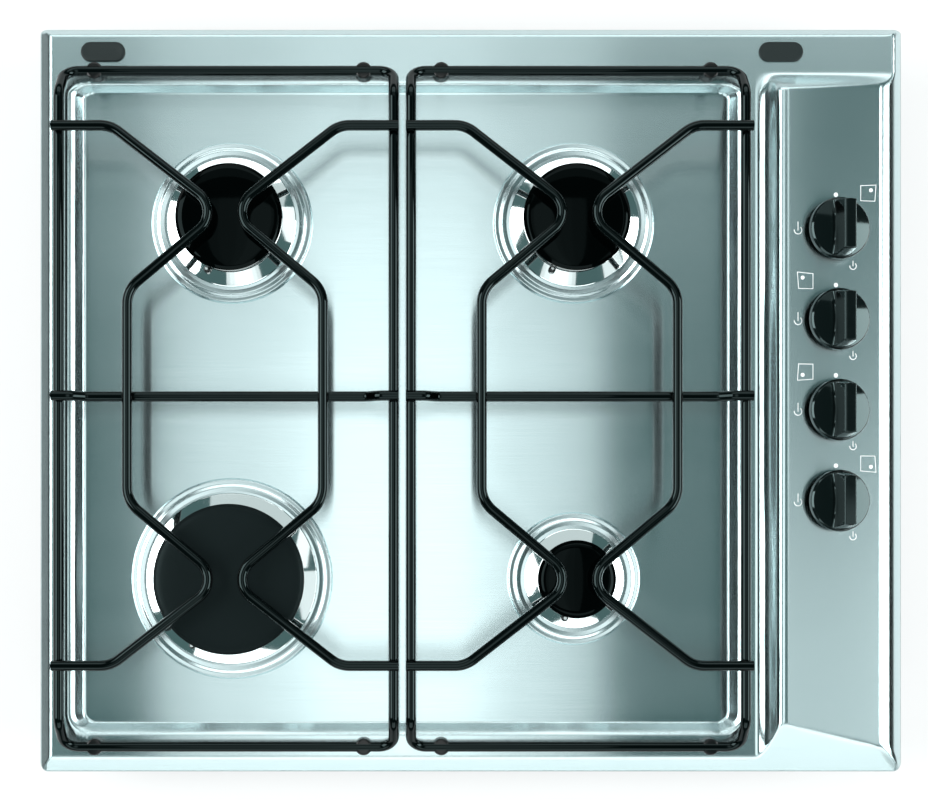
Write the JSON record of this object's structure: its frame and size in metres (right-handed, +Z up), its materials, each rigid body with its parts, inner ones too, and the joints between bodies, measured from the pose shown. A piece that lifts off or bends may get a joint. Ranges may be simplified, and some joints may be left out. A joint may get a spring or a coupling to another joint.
{
  "type": "gas cooktop",
  "caption": "Built-in gas hob: pressed stainless plate with a sloping control panel, lift-off wire pan supports, burners with loose heads and caps, and push-and-turn taps.",
  "frame": {"origin": "under the middle of the hob plate, at the underside of the bottom case", "axes": "+X to the user's right, +Y to the rear, +Z up"},
  "size_m": [0.58, 0.5, 0.0851],
  "materials": {
    "brushed_stainless": "brushed along the width",
    "polished_stainless": "polished pressed ring",
    "polished_aluminium": "turned and polished casting",
    "die_cast_aluminium": "as cast",
    "gloss_enamel": "gloss black vitreous enamel",
    "matt_enamel": "matt black vitreous enamel",
    "gloss_black_plastic": "gloss moulded thermoset",
    "dark_plastic": "satin moulded plastic",
    "white_plastic": "moulded",
    "galvanised_steel": "zinc coated sheet",
    "zinc_steel": "zinc plated",
    "brass": "machined",
    "aluminium_tube": "drawn tube",
    "white_ceramic": "glazed ceramic",
    "black_rubber": "moulded",
    "grey_foam": "closed-cell strip"
  },
  "bodies": {
    "hob": {"hob_plate": "brushed_stainless", "hinge_slot_plugs": "dark_plastic", "bottom_case": "galvanised_steel", "cable_grommet": "black_rubber", "worktop_seal": "grey_foam", "worktop_clamps": "galvanised_steel", "clamp_screws": "zinc_steel", "gas_rail": "zinc_steel", "gas_inlet_elbow": "brass", "burner_gas_pipes": "aluminium_tube", "tap_bodies": "die_cast_aluminium", "tap_bonnets": "galvanised_steel", "tap_screws": "zinc_steel", "knob_seals": "black_rubber", "ignition_switches": "white_plastic", "ignition_unit": "white_plastic", "burner_rings": "polished_stainless", "burner_cups": "polished_aluminium", "gas_injectors": "brass", "spark_electrodes": "white_ceramic"},
    "left_pan_support": {"left_support_frame": "gloss_enamel", "left_support_crossbar": "gloss_enamel", "left_support_finger_left": "gloss_enamel", "left_support_finger_right": "gloss_enamel", "left_support_feet": "black_rubber"},
    "right_pan_support": {"right_support_frame": "gloss_enamel", "right_support_crossbar": "gloss_enamel", "right_support_finger_left": "gloss_enamel", "right_support_finger_right": "gloss_enamel", "right_support_feet": "black_rubber"},
    "rear_left_head": {"rear_left_burner_head": "die_cast_aluminium"},
    "rear_left_cap": {"rear_left_burner_cap": "gloss_enamel"},
    "rear_right_head": {"rear_right_burner_head": "die_cast_aluminium"},
    "rear_right_cap": {"rear_right_burner_cap": "gloss_enamel"},
    "front_left_head": {"front_left_burner_head": "die_cast_aluminium"},
    "front_left_cap": {"front_left_burner_cap": "matt_enamel"},
    "front_right_head": {"front_right_burner_head": "die_cast_aluminium"},
    "front_right_cap": {"front_right_burner_cap": "gloss_enamel"},
    "rear_right_tap_rotor": {"rear_right_tap_cone": "brass"},
    "rear_right_control": {"rear_right_tap_spindle": "zinc_steel", "rear_right_knob": "gloss_black_plastic"},
    "rear_left_tap_rotor": {"rear_left_tap_cone": "brass"},
    "rear_left_control": {"rear_left_tap_spindle": "zinc_steel", "rear_left_knob": "gloss_black_plastic"},
    "front_left_tap_rotor": {"front_left_tap_cone": "brass"},
    "front_left_control": {"front_left_tap_spindle": "zinc_steel", "front_left_knob": "gloss_black_plastic"},
    "front_right_tap_rotor": {"front_right_tap_cone": "brass"},
    "front_right_control": {"front_right_tap_spindle": "zinc_steel", "front_right_knob": "gloss_black_plastic"}
  },
  "joints": [
    {"name": "left_pan_support_lift", "type": "slide", "parent": "hob", "child": "left_pan_support", "axis": [0, 0, 1], "range_m": [0, 0.06]},
    {"name": "right_pan_support_lift", "type": "slide", "parent": "hob", "child": "right_pan_support", "axis": [0, 0, 1], "range_m": [0, 0.06]},
    {"name": "rear_left_head_lift", "type": "slide", "parent": "hob", "child": "rear_left_head", "axis": [0, 0, 1], "range_m": [0, 0.005]},
    {"name": "rear_left_cap_lift", "type": "slide", "parent": "rear_left_head", "child": "rear_left_cap", "axis": [0, 0, 1], "range_m": [0, 0.003]},
    {"name": "rear_right_head_lift", "type": "slide", "parent": "hob", "child": "rear_right_head", "axis": [0, 0, 1], "range_m": [0, 0.005]},
    {"name": "rear_right_cap_lift", "type": "slide", "parent": "rear_right_head", "child": "rear_right_cap", "axis": [0, 0, 1], "range_m": [0, 0.003]},
    {"name": "front_left_head_lift", "type": "slide", "parent": "hob", "child": "front_left_head", "axis": [0, 0, 1], "range_m": [0, 0.005]},
    {"name": "front_left_cap_lift", "type": "slide", "parent": "front_left_head", "child": "front_left_cap", "axis": [0, 0, 1], "range_m": [0, 0.003]},
    {"name": "front_right_head_lift", "type": "slide", "parent": "hob", "child": "front_right_head", "axis": [0, 0, 1], "range_m": [0, 0.005]},
    {"name": "front_right_cap_lift", "type": "slide", "parent": "front_right_head", "child": "front_right_cap", "axis": [0, 0, 1], "range_m": [0, 0.003]},
    {"name": "rear_right_knob_turn", "type": "hinge", "parent": "hob", "child": "rear_right_tap_rotor", "pos_m": [0.242, 0.112, 0.06088], "axis": [0.1409, 0, 0.99], "range_deg": [0, 207]},
    {"name": "rear_right_knob_push", "type": "slide", "parent": "rear_right_tap_rotor", "child": "rear_right_control", "axis": [-0.1409, 0, -0.99], "range_m": [0, 0.003], "stiffness_N_per_m": 1500, "springref_m": -0.004},
    {"name": "rear_left_knob_turn", "type": "hinge", "parent": "hob", "child": "rear_left_tap_rotor", "pos_m": [0.242, 0.052, 0.06088], "axis": [0.1409, 0, 0.99], "range_deg": [0, 207]},
    {"name": "rear_left_knob_push", "type": "slide", "parent": "rear_left_tap_rotor", "child": "rear_left_control", "axis": [-0.1409, 0, -0.99], "range_m": [0, 0.003], "stiffness_N_per_m": 1500, "springref_m": -0.004},
    {"name": "front_left_knob_turn", "type": "hinge", "parent": "hob", "child": "front_left_tap_rotor", "pos_m": [0.242, -0.008, 0.06088], "axis": [0.1409, 0, 0.99], "range_deg": [0, 207]},
    {"name": "front_left_knob_push", "type": "slide", "parent": "front_left_tap_rotor", "child": "front_left_control", "axis": [-0.1409, 0, -0.99], "range_m": [0, 0.003], "stiffness_N_per_m": 1500, "springref_m": -0.004},
    {"name": "front_right_knob_turn", "type": "hinge", "parent": "hob", "child": "front_right_tap_rotor", "pos_m": [0.242, -0.068, 0.06088], "axis": [0.1409, 0, 0.99], "range_deg": [0, 207]},
    {"name": "front_right_knob_push", "type": "slide", "parent": "front_right_tap_rotor", "child": "front_right_control", "axis": [-0.1409, 0, -0.99], "range_m": [0, 0.003], "stiffness_N_per_m": 1500, "springref_m": -0.004}
  ]
}
